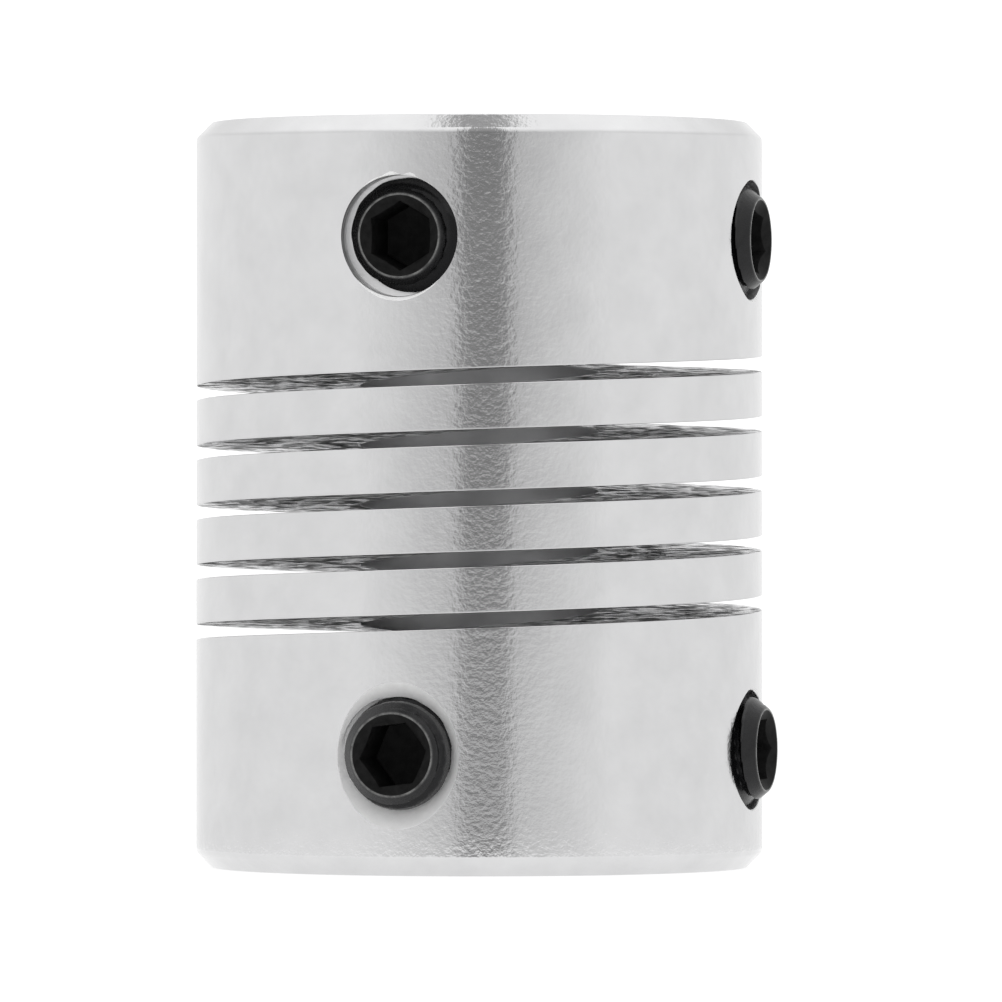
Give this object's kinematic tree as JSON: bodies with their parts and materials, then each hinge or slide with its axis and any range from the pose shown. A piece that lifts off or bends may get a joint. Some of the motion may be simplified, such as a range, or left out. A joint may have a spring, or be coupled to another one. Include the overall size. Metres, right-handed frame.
{
  "type": "beam coupling",
  "caption": "Cylindrical one-piece shaft coupling with a helical slot between two hubs, and cup-point set screws that clamp two shafts of different diameter.",
  "frame": {"origin": "centre of the lower end face, on the shaft axis", "axes": "+Z along the shaft axis from the small bore's end to the large bore's end; -Y through one pair of set screws and +X through the other pair"},
  "size_m": [0.0195, 0.0197, 0.025],
  "materials": {
    "body": "satin, tumbled, with a fine mottled grain",
    "screw": "black oxide, slightly oily"
  },
  "bodies": {
    "lower_hub": {"lower_hub": "body"},
    "coil_1": {"coil_1": "body"},
    "coil_2": {"coil_2": "body"},
    "coil_3": {"coil_3": "body"},
    "coil_4": {"coil_4": "body"},
    "coil_5": {"coil_5": "body"},
    "upper_hub": {"upper_hub": "body"},
    "lower_front_screw_tip": {"lower_front_screw_tip": "screw"},
    "lower_front_screw": {"lower_front_screw": "screw"},
    "lower_right_screw_tip": {"lower_right_screw_tip": "screw"},
    "lower_right_screw": {"lower_right_screw": "screw"},
    "upper_front_screw_tip": {"upper_front_screw_tip": "screw"},
    "upper_front_screw": {"upper_front_screw": "screw"},
    "upper_right_screw_tip": {"upper_right_screw_tip": "screw"},
    "upper_right_screw": {"upper_right_screw": "screw"}
  },
  "joints": [
    {"name": "lower_tilt_x", "type": "hinge", "parent": "lower_hub", "child": "coil_1", "pos_m": [0, 0, 0.0085], "axis": [1, 0, 0], "range_deg": [-1, 1], "stiffness_Nm_per_rad": 1.4},
    {"name": "lower_tilt_y", "type": "hinge", "parent": "coil_1", "child": "coil_2", "pos_m": [0, 0, 0.0101], "axis": [0, 1, 0], "range_deg": [-1, 1], "stiffness_Nm_per_rad": 1.4},
    {"name": "axial_stretch", "type": "slide", "parent": "coil_2", "child": "coil_3", "axis": [0, 0, 1], "range_m": [-0.0002, 0.0002], "stiffness_N_per_m": 17000},
    {"name": "wind_up", "type": "hinge", "parent": "coil_3", "child": "coil_4", "pos_m": [0, 0, 0.0133], "axis": [0, 0, 1], "range_deg": [-1.5, 1.5], "stiffness_Nm_per_rad": 8.6},
    {"name": "upper_tilt_x", "type": "hinge", "parent": "coil_4", "child": "coil_5", "pos_m": [0, 0, 0.0149], "axis": [1, 0, 0], "range_deg": [-1, 1], "stiffness_Nm_per_rad": 1.4},
    {"name": "upper_tilt_y", "type": "hinge", "parent": "coil_5", "child": "upper_hub", "pos_m": [0, 0, 0.0165], "axis": [0, 1, 0], "range_deg": [-1, 1], "stiffness_Nm_per_rad": 1.4},
    {"name": "lower_front_screw_travel", "type": "slide", "parent": "lower_hub", "child": "lower_front_screw_tip", "axis": [0, -1, 0], "range_m": [-0.0027, 0.00455]},
    {"name": "lower_front_screw_turn", "type": "hinge", "parent": "lower_front_screw_tip", "child": "lower_front_screw", "pos_m": [0, -0.0064, 0.004], "axis": [0, -1, 0], "range_deg": [-1389.1, 2340.5]},
    {"name": "lower_right_screw_travel", "type": "slide", "parent": "lower_hub", "child": "lower_right_screw_tip", "axis": [1, 0, 0], "range_m": [-0.0025, 0.00455]},
    {"name": "lower_right_screw_turn", "type": "hinge", "parent": "lower_right_screw_tip", "child": "lower_right_screw", "pos_m": [0.0062, 0, 0.004], "axis": [1, 0, 0], "range_deg": [-1286.2, 2340.5]},
    {"name": "upper_front_screw_travel", "type": "slide", "parent": "upper_hub", "child": "upper_front_screw_tip", "axis": [0, -1, 0], "range_m": [-0.00035, 0.00455]},
    {"name": "upper_front_screw_turn", "type": "hinge", "parent": "upper_front_screw_tip", "child": "upper_front_screw", "pos_m": [0, -0.00555, 0.021], "axis": [0, -1, 0], "range_deg": [-180.5, 2340.5]},
    {"name": "upper_right_screw_travel", "type": "slide", "parent": "upper_hub", "child": "upper_right_screw_tip", "axis": [1, 0, 0], "range_m": [-0.0008, 0.00455]},
    {"name": "upper_right_screw_turn", "type": "hinge", "parent": "upper_right_screw_tip", "child": "upper_right_screw", "pos_m": [0.006, 0, 0.021], "axis": [1, 0, 0], "range_deg": [-411.9, 2340.5]}
  ],
  "couplings": [
    {"joint": "lower_front_screw_turn", "follows": "lower_front_screw_travel", "rad_per_m": 8976},
    {"joint": "lower_right_screw_turn", "follows": "lower_right_screw_travel", "rad_per_m": 8976},
    {"joint": "upper_front_screw_turn", "follows": "upper_front_screw_travel", "rad_per_m": 8976},
    {"joint": "upper_right_screw_turn", "follows": "upper_right_screw_travel", "rad_per_m": 8976}
  ]
}
